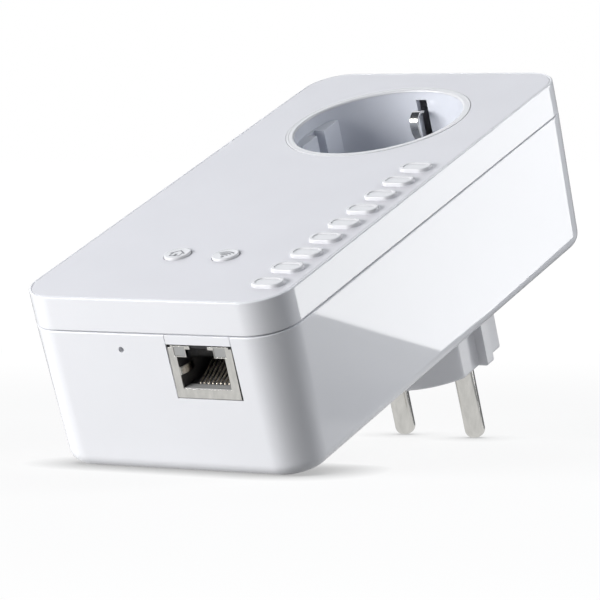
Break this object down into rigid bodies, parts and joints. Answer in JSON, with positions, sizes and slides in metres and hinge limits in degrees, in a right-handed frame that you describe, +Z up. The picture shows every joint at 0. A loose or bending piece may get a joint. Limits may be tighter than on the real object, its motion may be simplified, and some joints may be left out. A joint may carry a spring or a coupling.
{
  "type": "powerline adapter",
  "caption": "White plug-in network adapter with a pass-through earthed socket on its front, an earthed plug on its back and a network jack in its end wall, lying on its pins.",
  "frame": {"origin": "centre of the footprint, on the surface that the adapter lies on", "axes": "+Z up, +Y from the network jack end towards the socket end, +X to the right when seen from the jack end; the case leans back on its pin tips"},
  "size_m": [0.066, 0.138, 0.0854],
  "materials": {
    "case_white": "polished white injection-moulded plastic",
    "plate_grey": "satin pale grey front plate",
    "trim_white": "glossy white moulded plastic",
    "button_white": "glossy white button caps",
    "socket_grey": "satin pale grey moulded plastic",
    "nickel": "bright nickel plating",
    "contact_brass": "bare brass",
    "contact_gold": "gold-plated contact wire",
    "screw_steel": "zinc-plated steel",
    "jack_black": "black moulded plastic",
    "carrier_ivory": "ivory moulded plastic",
    "board_green": "green solder mask",
    "fin_aluminium": "extruded aluminium",
    "cable_black": "black cable jacket",
    "label_film": "blank pale grey label film"
  },
  "bodies": {
    "case": {"back_housing": "case_white", "front_cover": "case_white", "front_plate": "plate_grey", "case_screw_1": "screw_steel", "case_screw_2": "screw_steel", "case_screw_3": "screw_steel", "case_screw_4": "screw_steel", "rating_label": "label_film", "socket_trim_ring": "trim_white", "socket_well": "socket_grey", "shutter_spring": "screw_steel", "contact_carrier": "carrier_ivory", "live_contact": "contact_brass", "neutral_contact": "contact_brass", "live_busbar": "contact_brass", "neutral_busbar": "contact_brass", "earth_bracket": "nickel", "plug_body": "trim_white", "live_pin": "nickel", "neutral_pin": "nickel", "upper_plug_earth_strip": "nickel", "lower_plug_earth_strip": "nickel", "jack_shield": "nickel", "jack_insert": "jack_black", "left_switch": "jack_black", "right_switch": "jack_black", "reset_switch": "jack_black", "main_board": "board_green", "power_board": "board_green", "button_board": "board_green", "soc_chip": "jack_black", "heat_sink": "fin_aluminium", "radio_shield_can": "nickel", "network_transformer": "jack_black", "supply_transformer": "carrier_ivory", "coupling_transformer": "carrier_ivory", "bulk_capacitor_left": "jack_black", "bulk_capacitor_right": "jack_black", "output_capacitor": "jack_black", "film_capacitor": "carrier_ivory", "choke": "carrier_ivory", "varistor": "board_green", "fuse": "carrier_ivory", "board_header": "jack_black", "left_antenna": "board_green", "left_antenna_cable": "cable_black", "right_antenna": "board_green", "right_antenna_cable": "cable_black", "live_lead": "cable_black", "neutral_lead": "cable_black"},
    "left_button": {"left_button": "button_white", "left_switch_plunger": "carrier_ivory"},
    "right_button": {"right_button": "button_white", "right_switch_plunger": "carrier_ivory"},
    "reset_plunger": {"reset_plunger": "carrier_ivory"},
    "shutter": {"shutter_disc": "socket_grey"},
    "upper_earth_clip": {"upper_earth_clip": "nickel"},
    "lower_earth_clip": {"lower_earth_clip": "nickel"},
    "jack_contacts": {"jack_contacts": "contact_gold"}
  },
  "joints": [
    {"name": "left_button_press", "type": "slide", "parent": "case", "child": "left_button", "axis": [0, -0.3634, 0.9316], "range_m": [-0.0005, 0], "stiffness_N_per_m": 800},
    {"name": "right_button_press", "type": "slide", "parent": "case", "child": "right_button", "axis": [0, -0.3634, 0.9316], "range_m": [-0.0005, 0], "stiffness_N_per_m": 800},
    {"name": "reset_press", "type": "slide", "parent": "case", "child": "reset_plunger", "axis": [0, 0.9316, 0.3634], "range_m": [0, 0.0004], "stiffness_N_per_m": 600},
    {"name": "shutter_turn", "type": "hinge", "parent": "case", "child": "shutter", "pos_m": [0, 0.0343, 0.05472], "axis": [0, -0.3634, 0.9316], "range_deg": [-38, 0], "stiffness_Nm_per_rad": 0.02},
    {"name": "upper_earth_clip_flex", "type": "hinge", "parent": "case", "child": "upper_earth_clip", "pos_m": [0, 0.05958, 0.05127], "axis": [-1, 0, 0], "range_deg": [0, 5], "stiffness_Nm_per_rad": 2},
    {"name": "lower_earth_clip_flex", "type": "hinge", "parent": "case", "child": "lower_earth_clip", "pos_m": [0, 0.01803, 0.03506], "axis": [1, 0, 0], "range_deg": [0, 5], "stiffness_Nm_per_rad": 2},
    {"name": "jack_contacts_flex", "type": "hinge", "parent": "case", "child": "jack_contacts", "pos_m": [0.01232, -0.05866, 0.01895], "axis": [-1, 0, 0], "range_deg": [0, 6], "stiffness_Nm_per_rad": 0.5}
  ]
}
